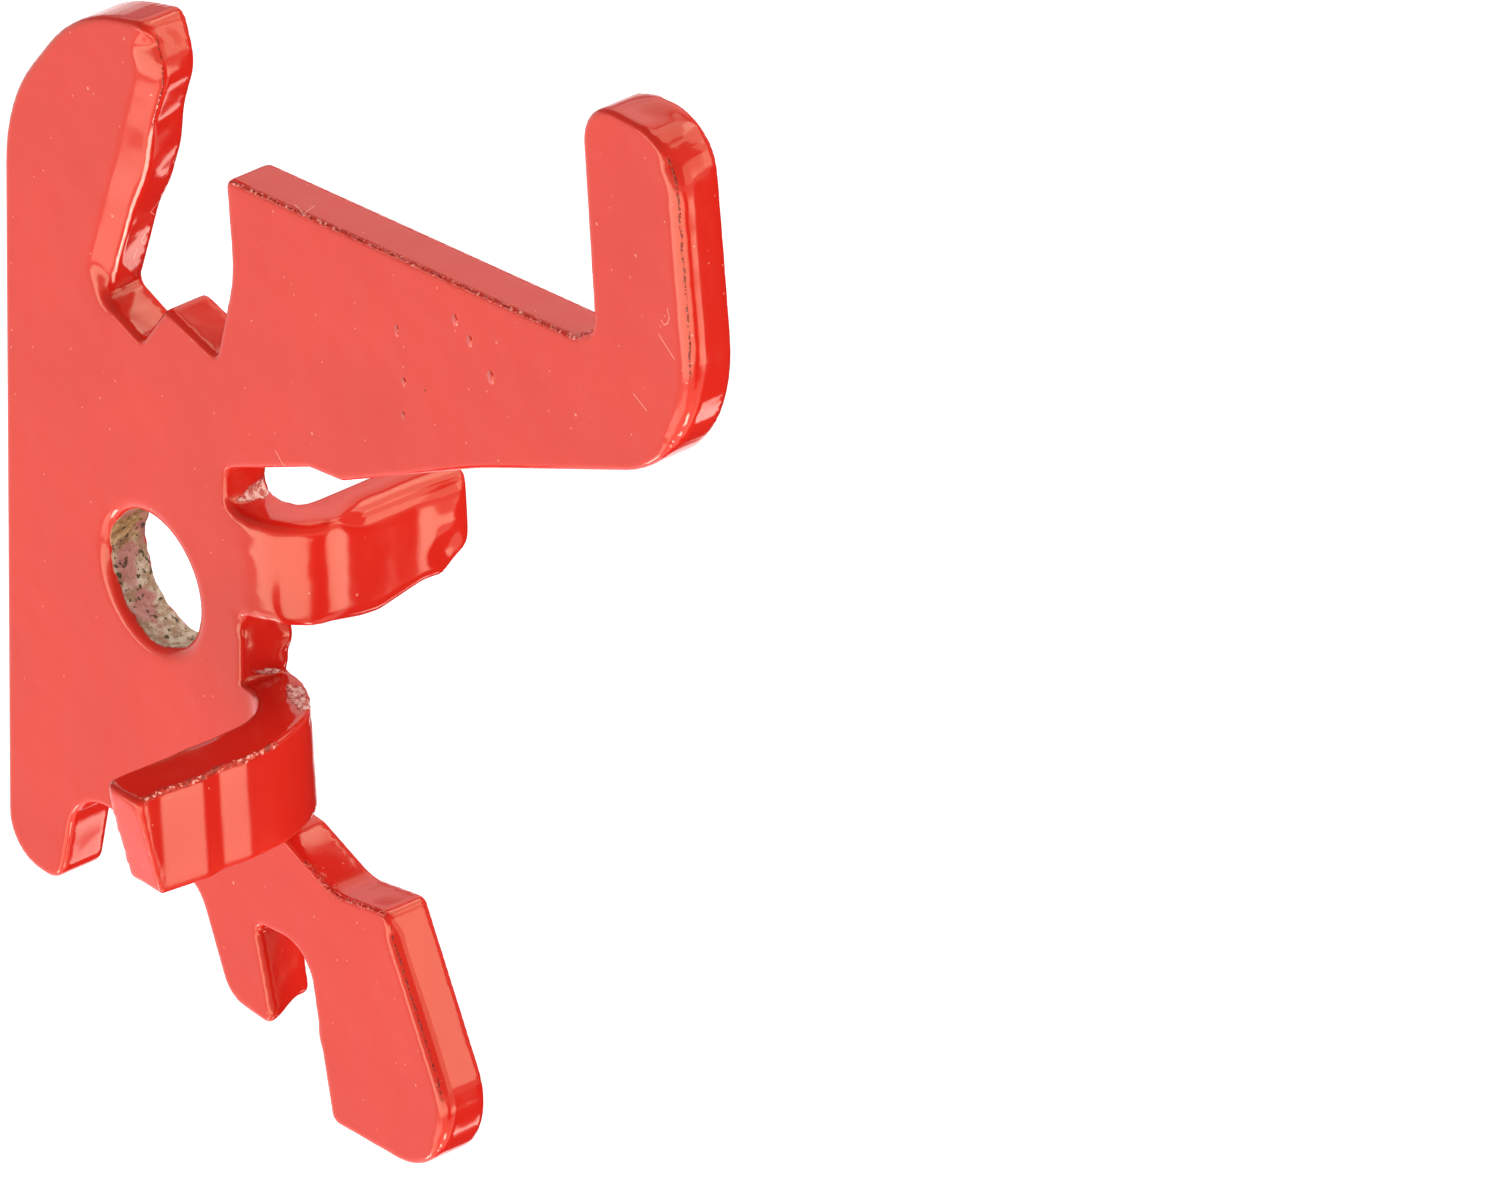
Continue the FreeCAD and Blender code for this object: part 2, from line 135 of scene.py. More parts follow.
# Corners worked softer: centre, reach and rounds of smoothing.
SOFT_PLACES = (
    ((6.9, -1.1, 6.2), 1.6, 12),
    ((6.9, -1.1, 1.5), 1.5, 12),
    ((-0.4, -1.1, 27.7), 0.7, 3),
    ((-3.8, -1.1, 13.0), 1.4, 8),
    ((11.3, -10.4, -2.0), 1.2, 3),
)
# The outline bulges: centre, reach and height. Each fades out away from the outline.
BULGE_FADE = (0.2, 1.5)
BULGES = (
    ((-1.1, 1.2, 20.1), 3.4, 0.3),
    ((6.0, 1.15, 0.9), 2.1, 0.5),
    ((6.0, 1.15, -0.9), 2.1, 0.5),
    ((28.9, 1.1, 37.9), 1.4, 0.25),
    ((32.7, 1.1, 39.2), 1.6, 0.2),
    ((29.6, -1.1, 27.4), 0.8, 0.2),
    ((11.8, -0.6, -17.4), 0.9, 0.15),
    ((34.9, 1.15, 39.1), 2.3, 0.2),
    ((7.9, 1.15, -18.4), 2.2, -0.62),
)
# Ragged burr: along the front rim of these places, from x to x and from z to z, and along
# the lower wing's upper edge.
BURR_PLACES = (
    (5.0, 31.0, 21.5, 29.0),
    (10.0, 16.4, -9.5, -7.0),
)
BURR_LINE = ((11.03, -10.3, -1.8), (11.03, -3.2, -1.8))

# Where the sheet tore: the tear's two ends, its reach and its depth.
TEARS = (
    ((5.0, -1.0, 6.0), (5.3, 1.15, 6.8), 0.8, 0.08),
    ((8.1, 0.3, -2.15), (9.7, -0.4, -2.15), 0.75, 0.08),
    ((6.6, -1.0, -1.65), (6.4, 1.1, -2.0), 0.36, -0.04),
)


def direction(azimuth, elevation):
    """Unit vector from the object; azimuth is measured in the floor from +X towards +Y."""
    return Vector(
        (
            math.cos(elevation) * math.cos(azimuth),
            math.cos(elevation) * math.sin(azimuth),
            math.sin(elevation),
        )
    )


def link(obj):
    bpy.context.scene.collection.objects.link(obj)
    return obj


def facing(obj, towards):
    """Turns an object so that its -Z looks along a vector."""
    obj.rotation_mode = "QUATERNION"
    obj.rotation_quaternion = towards.to_track_quat("-Z", "Y")


def make_camera():
    data = bpy.data.cameras.new("photo_camera")
    data.sensor_fit = "HORIZONTAL"
    data.sensor_width = SENSOR
    data.lens = LENS
    distance = FRAME_WIDTH * LENS / SENSOR
    data.clip_start = CLIP_NEAR * distance
    data.clip_end = CLIP_FAR * distance
    camera = link(bpy.data.objects.new("photo_camera", data))
    back = direction(VIEW_AZIMUTH - math.pi / 2, VIEW_ELEVATION)
    right = Vector((math.cos(VIEW_AZIMUTH), math.sin(VIEW_AZIMUTH), 0))
    right.rotate(Matrix.Rotation(VIEW_ROLL, 3, back))
    up = back.cross(right)
    aim = right * FRAME_CENTRE_RIGHT + up * FRAME_CENTRE_UP
    camera.location = aim + back * distance
    camera.rotation_mode = "QUATERNION"
    camera.rotation_quaternion = Matrix((right, up, back)).transposed().to_quaternion()
    bpy.context.scene.camera = camera
    return camera


def plain_material(name, color, glow):
    """A dull cloth or paper, with no gloss."""
    material = bpy.data.materials.new(name)
    material.use_nodes = True
    shader = material.node_tree.nodes["Principled BSDF"]
    shader.inputs["Base Color"].default_value = (*color, 1)
    shader.inputs["Roughness"].default_value = 0.9
    shader.inputs["Specular IOR Level"].default_value = 0.0
    shader.inputs["Emission Color"].default_value = (1, 1, 1, 1)
    shader.inputs["Emission Strength"].default_value = glow
    return material


def make_card(name, size_x, size_y, place, turn, material):
    """A flat card on the stage."""
    shape = bmesh.new()
    bmesh.ops.create_grid(shape, x_segments=1, y_segments=1, size=0.5)
    bmesh.ops.scale(shape, vec=(size_x, size_y, 1), verts=shape.verts)
    bmesh.ops.rotate(shape, matrix=Matrix.Rotation(turn, 3, "Z"), verts=shape.verts)
    bmesh.ops.translate(shape, vec=place, verts=shape.verts)
    mesh = bpy.data.meshes.new(name)
    shape.to_mesh(mesh)
    shape.free()
    mesh.materials.append(material)
    card = link(bpy.data.objects.new(name, mesh))
    return card


def make_floor():
    pale = plain_material("pale_floor", FLOOR_GREY, FLOOR_GLOW)
    wide = 2 * FLOOR_HALF
    return make_card("floor", wide, wide, (0, 0, FLOOR_LEVEL), 0, pale)


def floor_place(azimuth, away):
    turn = math.radians(azimuth)
    return (away * math.cos(turn), away * math.sin(turn), FLOOR_LEVEL + CARD_LIFT)


def make_flag(name, start, near, far, width):
    """A dark card low beside the object, seen only in reflections.

    One long side lies along the azimuth start; the card spreads from there to the left."""
    black = plain_material(name + "_cloth", FLAG_BLACK, 0.0)
    along = Vector(floor_place(start, (near + far) / 2))
    aside = direction(math.radians(start + 90), 0) * width / 2
    card = make_card(name, far - near, width, along + aside, math.radians(start), black)
    card.visible_camera = False
    card.visible_shadow = False
    return card


def make_area(name, size_x, size_y, radiance):
    data = bpy.data.lights.new(name, "AREA")
    data.shape = "RECTANGLE"
    data.size = size_x
    data.size_y = size_y
    data.energy = radiance * math.pi * size_x * size_y
    light = link(bpy.data.objects.new(name, data))
    light.visible_camera = False
    return light


def make_softbox(name, azimuth, elevation, distance, width, height, radiance):
    """A soft rectangular light, aimed at the object and hidden from the camera."""
    light = make_area(name, width, height, radiance)
    away = direction(math.radians(azimuth), math.radians(elevation))
    light.location = away * distance
    facing(light, -away)
    return light


def make_low_panel(name, azimuth, away, width, depth, radiance):
    """A bright panel that lies on the floor and shines up."""
    light = make_area(name, depth, width, radiance)
    light.location = Vector(floor_place(azimuth, away)) + Vector((0, 0, CARD_LIFT))
    light.rotation_euler = (math.pi, 0, math.radians(azimuth))
    return light


def make_world(level):
    world = bpy.data.worlds.new("studio")
    world.use_nodes = True
    sky = world.node_tree.nodes["Background"]
    sky.inputs["Color"].default_value = (1, 1, 1, 1)
    sky.inputs["Strength"].default_value = level
    bpy.context.scene.world = world


def make_studio():
    make_world(SKY_LEVEL)
    make_floor()
    for flag in FLAGS:
        make_flag(*flag)
    for panel in PANELS:
        make_low_panel(*panel)
    for box in BOXES:
        make_softbox(*box)
    view = bpy.context.scene.view_settings
    view.view_transform = "Standard"
    view.look = "None"
    view.exposure = 0.0


def copy_of_node(node):
    """A merged copy of a CAD node's mesh, in millimetres."""
    shape = bmesh.new()
    shape.from_mesh(node.data)
    bmesh.ops.scale(shape, vec=(1 / MM, 1 / MM, 1 / MM), verts=shape.verts)
    bmesh.ops.remove_doubles(shape, verts=shape.verts, dist=0.0005)
    mesh = bpy.data.meshes.new("hook_enamel")
    shape.to_mesh(mesh)
    shape.free()
    return mesh


def cut_at_mid_sheet(mesh):
    """The outline halfway through the sheet, as short runs: ends and outward sides."""
    shape = bmesh.new()
    shape.from_mesh(mesh)
    cut = bmesh.ops.bisect_plane(
        shape,
        geom=shape.verts[:] + shape.edges[:] + shape.faces[:],
        dist=0.0001,
        plane_co=(0, 0, 0),
        plane_no=(0, 1, 0),
    )
    runs = [part for part in cut["geom_cut"] if isinstance(part, bmesh.types.BMEdge)]
    runs = [run for run in runs if run.calc_length() > 0.001 and run.link_faces]
    starts = np.array([(run.verts[0].co.x, run.verts[0].co.z) for run in runs])
    ends = np.array([(run.verts[1].co.x, run.verts[1].co.z) for run in runs])
    sides = []
    for run in runs:
        side = Vector((0, 0, 0))
        for face in run.link_faces:
            side += face.normal
        side = Vector((side.x, side.z)).normalized()
        sides.append((side.x, side.y))
    shape.free()
    return starts, ends, np.array(sides)


def smooth_step(value, low, high):
    share = np.clip((value - low) / (high - low), 0, 1)
    return share * share * (3 - 2 * share)


def roll_of_runs(starts, ends, sides):
    """The roll at each run of the outline: share, width, depth, fullness, seam, wave."""
    middles = (starts + ends) / 2
    across, up = middles.T
    facing_right = smooth_step(sides[:, 0], LEAST_FACING, FULL_FACING)
    facing_right *= smooth_step(sides[:, 1], LOWEST_FACING, LOWEST_FACING + 0.3)
    shape = np.zeros((len(middles), 6))
    shape[:, 1:] = (1.0, 0.5, 1.3, 9.0, 0.0)
    for left, right, low, high, *values in ROLLED_PLACES:
        here = (across > left) & (across < right) & (up > low) & (up < high)
        shape[here, 0] = facing_right[here]
        shape[here, 1:] = values
    in_hole = np.linalg.norm(middles, axis=1) < HOLE_RADIUS + 0.1
    shape[in_hole, 0] = 1.0
    shape[in_hole, 1:4] = HOLE_ROLL
    shape[in_hole, 4:] = (9.0, 0.0)
    return shape


def nearest_runs(flat, starts, ends):
    """For points of the plate's plane: the nearest run and the vector to it."""
    along = ends - starts
    square = (along**2).sum(axis=1)
    index = np.empty(len(flat), dtype=int)
    to_rim = np.empty((len(flat), 2))
    for first in range(0, len(flat), 2000):
        part = flat[first : first + 2000]
        gap = part[:, None] - starts[None]
        share = np.clip((gap * along[None]).sum(axis=2) / square[None], 0, 1)
        reach = share[..., None] * along[None] - gap
        best = (reach**2).sum(axis=2).argmin(axis=1)
        index[first : first + 2000] = best
        to_rim[first : first + 2000] = reach[np.arange(len(part)), best]
    return index, to_rim


def remeshed(mesh, voxel):
    """Covers the mesh in small even faces, so that its surface can be worked."""
    obj = link(bpy.data.objects.new("hook_enamel", mesh))
    skin = obj.modifiers.new("skin", "REMESH")
    skin.mode = "VOXEL"
    skin.voxel_size = voxel
    skin.adaptivity = 0.0
    bpy.context.view_layer.update()
    graph = bpy.context.evaluated_depsgraph_get()
    made = bpy.data.meshes.new_from_object(obj.evaluated_get(graph))
    obj.modifiers.clear()
    obj.data = made
    made.name = "hook_enamel"
    bpy.data.meshes.remove(mesh)
    return obj


def points_of(mesh):
    flat = np.empty(3 * len(mesh.vertices))
    mesh.vertices.foreach_get("co", flat)
    return flat.reshape(-1, 3)


def normals_of(mesh):
    flat = np.empty(3 * len(mesh.vertices))
    mesh.vertices.foreach_get("normal", flat)
    return flat.reshape(-1, 3)


def move_points(mesh, points):
    mesh.vertices.foreach_set("co", points.ravel())
    mesh.update()


def write_attribute(mesh, name, values):
    attribute = mesh.attributes.new(name, "FLOAT", "POINT")
    attribute.data.foreach_set("value", values.astype(np.float32))


def smooth_where(mesh, chosen, rounds, factor):
    shape = bmesh.new()
    shape.from_mesh(mesh)
    shape.verts.ensure_lookup_table()
    verts = [shape.verts[i] for i in np.flatnonzero(chosen)]
    for _ in range(rounds):
        bmesh.ops.smooth_vert(
            shape,
            verts=verts,
            factor=factor,
            use_axis_x=True,
            use_axis_y=True,
            use_axis_z=True,
        )
    shape.to_mesh(mesh)
    shape.free()


def noise_at(points, size, shift):
    """Smooth noise from -1 to 1 with bumps about size millimetres apart."""
    return np.array([noise.noise(Vector(point) / size + shift) for point in points])


def near(points, centre, reach):
    """1 at a centre, falling smoothly to 0 at its reach."""
    away = np.linalg.norm(points - np.array(centre), axis=1)
    return 1 - smooth_step(away, 0.25 * reach, reach)


def meeting_places(firsts, seconds):
    """Where two sets of places of the outline meet, each once."""
    gaps = np.linalg.norm(firsts[:, None] - seconds[None], axis=2)
    meeting = firsts[gaps.min(axis=1) < 0.005]
    return np.unique(np.round(meeting, 2), axis=0)


def roll_front_rim(points, outline):
    """Draws the front rim down into a soft roll where the punch entered.

    Returns the points, and for each its roll's share, its seam and its wall's wave."""
    starts, ends, sides = outline
    shapes = roll_of_runs(starts, ends, sides)
    with_roll = shapes[:, 0] > 0.05
    others = np.concatenate((starts[~with_roll], ends[~with_roll]))
    starts = starts[with_roll]
    ends = ends[with_roll]
    flat = points[:, [0, 2]]
    index, to_rim = nearest_runs(flat, starts, ends)
    side = sides[with_roll][index]
    away = np.linalg.norm(to_rim, axis=1)
    share, width, depth, fullness, seam, wave = shapes[with_roll][index].T
    close = (np.abs(points[:, 1]) < HALF_SHEET + 0.1) & (away < 1.5)
    share = np.where(close, share, 0.0)
    for corner in meeting_places(np.concatenate((starts, ends)), others):
        gap = np.linalg.norm(flat + to_rim - corner, axis=1)
        share = share * np.clip(gap / TAPER, 0, 1)

    outward = (to_rim * side).sum(axis=1)
    unit = to_rim / np.maximum(away, 0.001)[:, None]
    unit = np.where((outward < 0)[:, None], -unit, unit)
    unit = np.where((away > 0.15)[:, None], unit, side)
    into = np.where(outward >= 0, away, -away)
    down = points[:, 1] + HALF_SHEET
    width = np.maximum(width * share, 0.001)
    depth = np.maximum(depth * share, 0.001)
    across = np.maximum((width - into) / width, 0)
    rise = np.maximum((depth - down) / depth, 0)
    reach = (across**fullness + rise**fullness) ** (1 / fullness)
    rolled = (share > 0.1) & (across > 0) & (rise > 0) & (reach > 1)
    reach = np.maximum(reach, 1)
    result = points.copy()
    shift = (width * (1 - across / reach) - into)[:, None] * -unit
    result[rolled, 0] += shift[rolled, 0]
    result[rolled, 2] += shift[rolled, 1]
    result[rolled, 1] += (depth * (1 - rise / reach) - down)[rolled]
    return result, share, seam, wave


def in_wings(points):
    across, deep, up = points.T
    out_of_plate = (np.abs(deep) > HALF_SHEET + 0.15) | (across > WINGS_START + 3.2)
    return out_of_plate & (across < 14) & (up > WINGS_LOW) & (up < WINGS_HIGH)


def shape_upper_wing(points, normals):
    """Rounds the upper wing's long outer edge, lifts its lower edge towards the end and
    bruises the end's corner."""
    across, deep, up = points.T
    result = points.copy()
    upper = in_wings(points) & (deep > 0) & (up > 0.8)

    lean = np.radians(WING_LEAN)
    out = across * np.cos(lean) + up * np.sin(lean)
    rise = up * np.cos(lean) - across * np.sin(lean)
    inset = out[upper].max() - out
    below = rise[upper].max() - rise
    share = TOP_EDGE_ROUND * smooth_step(deep, 1.0, 3.5)
    share = np.maximum(share, 0.001)
    corner_out = 1 - inset / share
    corner_up = 1 - below / share
    reach = np.hypot(np.maximum(corner_out, 0), np.maximum(corner_up, 0))
    rounded = upper & (reach > 1) & (corner_out > 0) & (corner_up > 0)
    pull = np.where(rounded, share * (1 - 1 / np.maximum(reach, 1)), 0)
    back_out = corner_out * pull
    back_up = corner_up * pull
    result[:, 0] -= back_out * np.cos(lean) - back_up * np.sin(lean)
    result[:, 2] -= back_out * np.sin(lean) + back_up * np.cos(lean)

    lift = np.interp(deep, LOWER_EDGE_DEEP, LOWER_EDGE_LIFT)
    height = np.clip((WING_TOP - up) / (WING_TOP - WING_FOOT), 0, 1)
    result[:, 2] += np.where(upper, lift * height, 0)

    result[:, 0] += np.where(upper, TIP_FLARE * smooth_step(deep, 5.9, 8.9), 0)
    for centre, reach, depth in TIP_BRUISES:
        push = near(result, centre, reach) * depth * upper
        result -= normals * push[:, None]
    return result


def settle_on(points, solid, chosen):
    """Lays the chosen points back on the solid, after smoothing."""
    shape = bmesh.new()
    shape.from_mesh(solid)
    tree = BVHTree.FromBMesh(shape)
    for i in np.flatnonzero(chosen):
        points[i] = tree.find_nearest(Vector(points[i]))[0]
    shape.free()


def set_lower_wing(points):
    """The lower wing's outer face is not quite flat."""
    across, deep, up = points.T
    lower = in_wings(points) & (deep < 0) & (up < -1)
    shift = np.interp(deep, LOWER_WING_DEEP, LOWER_WING_SHIFT)
    points[:, 0] += np.where(lower, shift * smooth_step(across, 8, 10), 0)


def distance_from_line(points, start, end):
    start = np.array(start)
    along = np.array(end) - start
    gap = points - start
    share = np.clip((gap @ along) / (along @ along), 0, 1)
    return np.linalg.norm(gap - share[:, None] * along, axis=1)


def distance_from_burrs(points, outline, index, away):
    """Distance of each point from the nearest burr, up to 1 mm."""
    starts, ends, sides = outline
    across, up = ((starts + ends) / 2).T
    has_burr = np.zeros(len(starts), dtype=bool)
    for left, right, low, high in BURR_PLACES:
        here = (across > left) & (across < right) & (up > low) & (up < high)
        has_burr |= here & (sides[:, 1] > 0.7)
    down = points[:, 1] + HALF_SHEET
    result = np.where(has_burr[index], np.hypot(away, down), 1.0)
    return np.clip(np.minimum(result, distance_from_line(points, *BURR_LINE)), 0, 1)


def soften(mesh, rolled, folds, upper):
    """Takes the steps of the small faces out of the rolls, the wings and soft corners."""
    smooth_where(mesh, rolled, 1, ROLL_SOFTENING)
    smooth_where(mesh, folds, 1, SOFTENING)
    smooth_where(mesh, upper, UPPER_ROUNDS, SOFTENING)
    for centre, reach, rounds in SOFT_PLACES:
        chosen = near(points_of(mesh), centre, reach) > 0.05
        smooth_where(mesh, chosen, rounds, SOFTENING)


def wave_walls(points, side, wall, waves, pits):
    """Makes the cut walls behind the roll uneven."""
    behind = smooth_step(points[:, 1], -0.7, -0.3)
    push = wall * behind * (WAVE_DEPTH * waves + PIT_DEPTH * pits)
    points[:, 0] -= side[:, 0] * push
    points[:, 2] -= side[:, 1] * push


def bulge_outline(points, away, outline):
    """Pushes the outline out or in where the cut was not true."""
    starts, ends, sides = outline
    close = 1 - smooth_step(away, *BULGE_FADE)
    for centre, reach, height in BULGES:
        place = np.array([[centre[0], centre[2]]])
        out_x, out_z = sides[nearest_runs(place, starts, ends)[0][0]]
        push = near(points, centre, reach) * height * close
        points[:, 0] += out_x * push
        points[:, 2] += out_z * push


def roughen_hole(points, radius, in_hole, pits):
    """Makes the wall of the screw hole uneven towards the back."""
    ripple = HOLE_WAVE_DEPTH * noise_at(points, HOLE_WAVE_SIZE, HOLE_WAVE_SHIFT)
    ripple += HOLE_PITS * HOLE_WAVE_DEPTH * pits
    ripple *= smooth_step(points[:, 1], -0.9, 0.3)
    ripple = np.where(in_hole, ripple, 0.0)
    points[:, 0] += points[:, 0] / radius * ripple
    points[:, 2] += points[:, 2] / radius * ripple


def tear_roots(points, normals, waves, pits):
    """Sinks the torn places. Returns how torn each point is."""
    torn = np.zeros(len(points))
    for start, end, reach, depth in TEARS:
        gap = distance_from_line(points, start, end)
        zone = 1 - smooth_step(gap, 0.3 * reach, reach)
        zone *= np.abs(normals[:, 1]) < 0.85
        torn = np.maximum(torn, zone)
        points -= normals * (zone * depth * (0.6 + pits + 0.5 * waves))[:, None]
    return torn


def make_hook(node):
    merged = copy_of_node(node)
    outline = cut_at_mid_sheet(merged)
    solid = merged.copy()
    obj = remeshed(merged, VOXEL)
    mesh = obj.data
    everywhere = np.ones(len(mesh.vertices), dtype=bool)
    smooth_where(mesh, everywhere, COVER_ROUNDS, SOFTENING)

    points = points_of(mesh)
    folds = in_wings(points)
    upper = folds & (points[:, 2] > 0)
    settle_on(points, solid, ~upper)
    bpy.data.meshes.remove(solid)
    starts, ends, sides = outline
    index, to_rim = nearest_runs(points[:, [0, 2]], starts, ends)
    side = sides[index]
    away = np.linalg.norm(to_rim, axis=1)
    burr = distance_from_burrs(points, outline, index, away)
    points, share, seam, wave = roll_front_rim(points, outline)
    move_points(mesh, points)
    soften(mesh, share > 0.1, folds, upper)

    points = shape_upper_wing(points_of(mesh), normals_of(mesh))
    set_lower_wing(points)
    move_points(mesh, points)
    smooth_where(mesh, upper, LAST_ROUNDS, SOFTENING)

    points = points_of(mesh)
    radius = np.hypot(points[:, 0], points[:, 2])
    in_hole = (radius < HOLE_RADIUS + 0.25) & (np.abs(points[:, 1]) < HALF_SHEET)
    wall = np.clip(1 - away / WALL_REACH, 0, 1) * (share > 0.3) * ~in_hole
    waves = noise_at(points, WAVE_SIZE, WAVE_SHIFT)
    pits = noise_at(points, PIT_SIZE, PIT_SHIFT)
    wave_walls(points, side, wall * wave, waves, pits)
    bulge_outline(points, away, outline)
    roughen_hole(points, radius, in_hole, pits)
    torn = tear_roots(points, normals_of(mesh), waves, pits)
    move_points(mesh, points)

    write_attribute(mesh, "rolled", share)
    write_attribute(mesh, "seam", np.clip(points[:, 1] + HALF_SHEET - seam, -2, 2))
    write_attribute(mesh, "torn", torn)
    write_attribute(mesh, "burr", burr)
    mesh.transform(Matrix.Scale(MM, 4))
    for face in mesh.polygons:
        face.use_smooth = True
    return obj


class Board:
    """A material's node tree, with short ways to add its nodes."""

    def __init__(self, name):
        self.material = bpy.data.materials.new(name)
        self.material.use_nodes = True
        self.tree = self.material.node_tree
        self.shader = self.tree.nodes["Principled BSDF"]
        place = self.tree.nodes.new("ShaderNodeTexCoord")
        scale = self.tree.nodes.new("ShaderNodeMapping")
        scale.inputs["Scale"].default_value = (1 / MM, 1 / MM, 1 / MM)
        self.join(place.outputs["Object"], scale.inputs["Vector"])
        self.place = scale.outputs["Vector"]
        split = self.tree.nodes.new("ShaderNodeSeparateXYZ")
        self.join(self.place, split.inputs[0])
        self.x, self.y, self.z = split.outputs[:3]

    def join(self, source, target):
        """Sets an input to a number or colour, or links an output to it."""
        if isinstance(source, bpy.types.NodeSocket):
            self.tree.links.new(source, target)
        else:
            target.default_value = source

    def math(self, operation, first, second=0.0, third=0.0, clamp=False):
        node = self.tree.nodes.new("ShaderNodeMath")
        node.operation = operation
        node.use_clamp = clamp
        for socket, value in zip(node.inputs, (first, second, third)):
            self.join(value, socket)
        return node.outputs[0]

    def both(self, first, second):
        return self.math("MULTIPLY", first, second)

    def most(self, first, second):
        return self.math("MAXIMUM", first, second)

    def scaled(self, value, factor, offset):
        """The value times a factor plus an offset."""
        return self.math("MULTIPLY_ADD", value, factor, offset)

    def near_zero(self, value, far, close):
        """1 within close of zero, 0 beyond far."""
        return self.step(self.math("ABSOLUTE", value), far, close)

    def step(self, value, low, high):
        """0 below low, 1 above high, smooth between; the other way where low is higher."""
        node = self.tree.nodes.new("ShaderNodeMapRange")
        node.interpolation_type = "SMOOTHSTEP"
        self.join(value, node.inputs["Value"])
        node.inputs["From Min"].default_value = min(low, high)
        node.inputs["From Max"].default_value = max(low, high)
        if low < high:
            return node.outputs[0]
        return self.math("SUBTRACT", 1.0, node.outputs[0])

    def moved(self, shift, stretch=(1, 1, 1)):
        move = self.tree.nodes.new("ShaderNodeMapping")
        move.inputs["Scale"].default_value = stretch
        move.inputs["Location"].default_value = shift
        self.join(self.place, move.inputs["Vector"])
        return move.outputs["Vector"]

    def noise(self, size, detail=2.0, rough=0.5, shift=(0, 0, 0)):
        """Noise from 0 to 1 with bumps about size millimetres apart."""
        node = self.tree.nodes.new("ShaderNodeTexNoise")
        node.inputs["Scale"].default_value = 1 / size
        node.inputs["Detail"].default_value = detail
        node.inputs["Roughness"].default_value = rough
        self.join(self.moved(shift), node.inputs["Vector"])
        return node.outputs["Fac"]

    def specks(self, gap, low, high, share, shift=(0, 0, 0)):
        """Scattered round specks, in a share of the cells of a gap's size."""
        node = self.tree.nodes.new("ShaderNodeTexVoronoi")
        node.inputs["Scale"].default_value = 1 / gap
        self.join(self.moved(shift), node.inputs["Vector"])
        dot = self.step(node.outputs["Distance"], high / gap, low / gap)
        split = self.tree.nodes.new("ShaderNodeSeparateColor")
        self.join(node.outputs["Color"], split.inputs[0])
        return self.both(dot, self.math("LESS_THAN", split.outputs[0], share))

    def attribute(self, name):
        node = self.tree.nodes.new("ShaderNodeAttribute")
        node.attribute_name = name
        return node.outputs["Fac"]

    def mix(self, share, first, second):
        node = self.tree.nodes.new("ShaderNodeMix")
        node.data_type = "RGBA"
        self.join(share, node.inputs["Factor"])
        self.join(first, node.inputs[6])
        self.join(second, node.inputs[7])
        return node.outputs[2]

    def vector(self, operation, first, second):
        node = self.tree.nodes.new("ShaderNodeVectorMath")
        node.operation = operation
        self.join(first, node.inputs[0])
        self.join(second, node.inputs[1])
        return node.outputs

    def length(self, vector):
        node = self.tree.nodes.new("ShaderNodeVectorMath")
        node.operation = "LENGTH"
        self.join(vector, node.inputs[0])
        return node.outputs["Value"]

    def blob(self, centre, size):
        """A soft spot, from 1 at its centre to 0 at its rim."""
        away = self.vector("SUBTRACT", self.place, centre)[0]
        return self.step(self.length(self.vector("DIVIDE", away, size)[0]), 1.0, 0.2)

    def stroke(self, start, end, flat, width):
        """A thin line between two places, for a scratch or a painted glint; flat has a 0
        for the way it faces.
        """
        start = Vector(start)
        along = (Vector(end) - start) * Vector(flat)
        gap = self.vector("SUBTRACT", self.place, start)[0]
        close = self.math("LESS_THAN", self.length(gap), STROKE_REACH)
        gap = self.vector("MULTIPLY", gap, flat)[0]
        share = self.vector("DOT_PRODUCT", gap, along / along.length_squared)["Value"]
        share = self.math("ADD", share, 0.0, clamp=True)
        reach = self.tree.nodes.new("ShaderNodeVectorMath")
        reach.operation = "SCALE"
        reach.inputs[0].default_value = along
        self.join(share, reach.inputs["Scale"])
        gap = self.vector("SUBTRACT", gap, reach.outputs[0])[0]
        return self.both(self.step(self.length(gap), width, width / 3), close)

    def bump(self, height, depth, normal=None):
        """Raises the surface by a height of up to depth millimetres."""
        node = self.tree.nodes.new("ShaderNodeBump")
        node.inputs["Distance"].default_value = depth * MM
        self.join(height, node.inputs["Height"])
        if normal is not None:
            self.join(normal, node.inputs["Normal"])
        return node.outputs["Normal"]


# Pimples under the enamel of the arm: place on the front face, width and height.
PIMPLES = (
    (17.1, 21.25, 0.16, 0.34),
    (17.6, 18.9, 0.2, 0.26),
    (17.55, 17.2, 0.14, 0.22),
    (21.1, 23.75, 0.24, 0.34),
    (22.1, 23.2, 0.22, 0.34),
    (23.55, 22.1, 0.28, 0.4),
    (19.0, 19.15, 0.08, 0.08),
)
